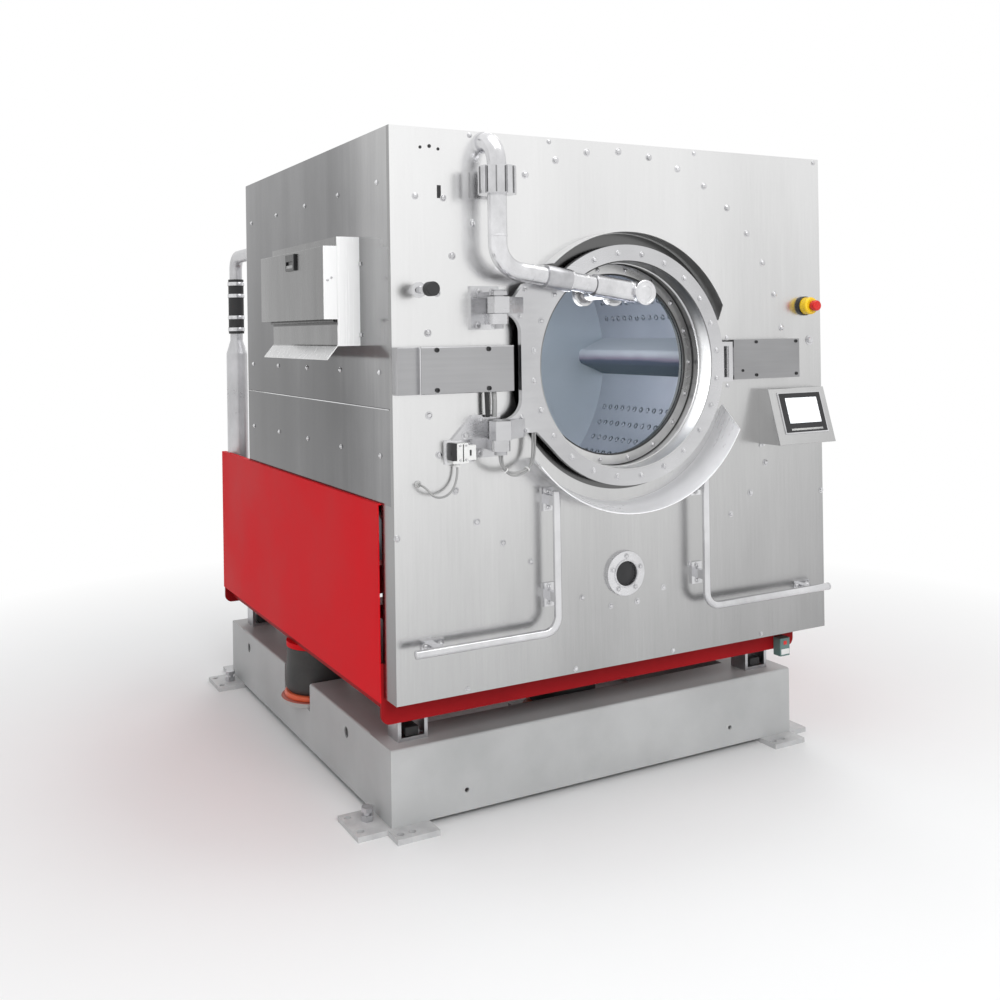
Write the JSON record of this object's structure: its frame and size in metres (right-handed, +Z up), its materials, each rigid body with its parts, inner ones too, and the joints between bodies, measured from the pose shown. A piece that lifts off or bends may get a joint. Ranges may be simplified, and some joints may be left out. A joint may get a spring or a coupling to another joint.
{
  "type": "washing machine",
  "caption": "Large industrial front-loading washer-extractor: stainless casing with a round glazed door, floating on air springs over a steel base.",
  "frame": {"origin": "on the floor, midway between the four feet and below the drum axis", "axes": "+Z up, -Y towards the person at the door, +X to that person's right"},
  "size_m": [1.9283, 2.2958, 2.218],
  "materials": {
    "base_paint": "satin grey",
    "foot_steel": "zinc plated",
    "spring_red": "satin orange red",
    "rubber_black": "matte",
    "red_paint": "gloss red",
    "stainless_front": "fine brushed",
    "stainless_side": "brushed upright",
    "stainless_bright": "polished",
    "stainless_drum": "satin",
    "box_grey": "satin grey",
    "cast": "painted grey",
    "motor_paint": "painted blue grey",
    "glass": "clear, faintly blue",
    "stop_yellow": "gloss yellow",
    "stop_red": "gloss red",
    "plastic_black": "matte black",
    "plastic_grey": "matte grey",
    "switch_teal": "matte teal"
  },
  "bodies": {
    "base": {"base_side_beams": "base_paint", "base_cross_beams": "base_paint", "foot_plates": "base_paint", "levelling_bolts": "foot_steel", "spring_seats": "spring_red", "air_bellows": "rubber_black", "stop_brackets": "foot_steel"},
    "door": {"door_ring": "stainless_front", "hinge_plate": "stainless_front", "lock_tab": "stainless_front", "door_bowl": "stainless_bright", "clamp_ring": "stainless_bright", "door_glass": "glass", "spray_nozzles": "stainless_bright", "spray_pipe": "stainless_bright", "door_cable": "plastic_grey"},
    "drum": {"drum_shell": "stainless_drum", "drum_ends": "stainless_drum", "drum_lifters": "stainless_drum", "drum_spider": "cast", "drum_pulley": "cast"},
    "motor_rotor": {"motor_pulley": "cast"},
    "lock": {"lock_bolt": "foot_steel"},
    "stop_button": {"e_stop_button": "stop_red"},
    "soap_lid": {"hopper_lid": "stainless_side", "hopper_latch": "plastic_black"},
    "machine": {"spring_caps": "red_paint", "rubber_stops": "rubber_black", "red_side_panels": "red_paint", "chassis_beams": "red_paint", "front_panel": "stainless_front", "casing_sheets": "stainless_side", "rear_panel": "stainless_side", "tub_shell": "stainless_side", "tub_ends": "stainless_side", "tub_saddles": "stainless_side", "drain_valve": "cast", "bearing_housing": "cast", "belts": "rubber_black", "motor": "motor_paint", "water_inlet": "stainless_bright", "visor": "stainless_bright", "scoop": "stainless_bright", "hinge_brackets": "stainless_bright", "hinge_pins": "foot_steel", "hinge_cover": "box_grey", "lock_housing": "box_grey", "door_seal": "rubber_black", "sight_port": "stainless_bright", "guard_rails": "stainless_bright", "console_housing": "stainless_front", "console_screen": "plastic_black", "e_stop_body": "stop_yellow", "door_bumper": "rubber_black", "door_switch": "plastic_grey", "switch_lead": "plastic_grey", "tilt_switch": "switch_teal", "hopper_housing": "stainless_side", "vent_pipe": "stainless_side", "vent_sleeve": "rubber_black"}
  },
  "joints": [
    {"name": "suspension_float", "type": "slide", "parent": "base", "child": "machine", "axis": [0, 0, 1], "range_m": [-0.015, 0.015], "stiffness_N_per_m": 1200000, "springref_m": 0.02043, "deforming": ["air_bellows"]},
    {"name": "door_hinge", "type": "hinge", "parent": "machine", "child": "door", "pos_m": [-0.519, -1.175, 1.468], "axis": [0, 0, -1], "range_deg": [0, 165]},
    {"name": "drum_spin", "type": "hinge", "parent": "machine", "child": "drum", "pos_m": [0, 0, 1.468], "axis": [0, 1, 0], "continuous": true},
    {"name": "motor_spin", "type": "hinge", "parent": "machine", "child": "motor_rotor", "pos_m": [0, 0.34, 0.74], "axis": [0, 1, 0], "continuous": true},
    {"name": "lock_slide", "type": "slide", "parent": "machine", "child": "lock", "axis": [-1, 0, 0], "range_m": [0, 0.038]},
    {"name": "e_stop_press", "type": "slide", "parent": "machine", "child": "stop_button", "axis": [0, 1, 0], "range_m": [0, 0.005], "stiffness_N_per_m": 1500},
    {"name": "soap_lid_hinge", "type": "hinge", "parent": "machine", "child": "soap_lid", "pos_m": [-0.9246, 0, 1.6294], "axis": [0, -1, 0], "range_deg": [0, 75]}
  ],
  "couplings": [
    {"joint": "motor_spin", "follows": "drum_spin", "ratio": 4.376}
  ]
}
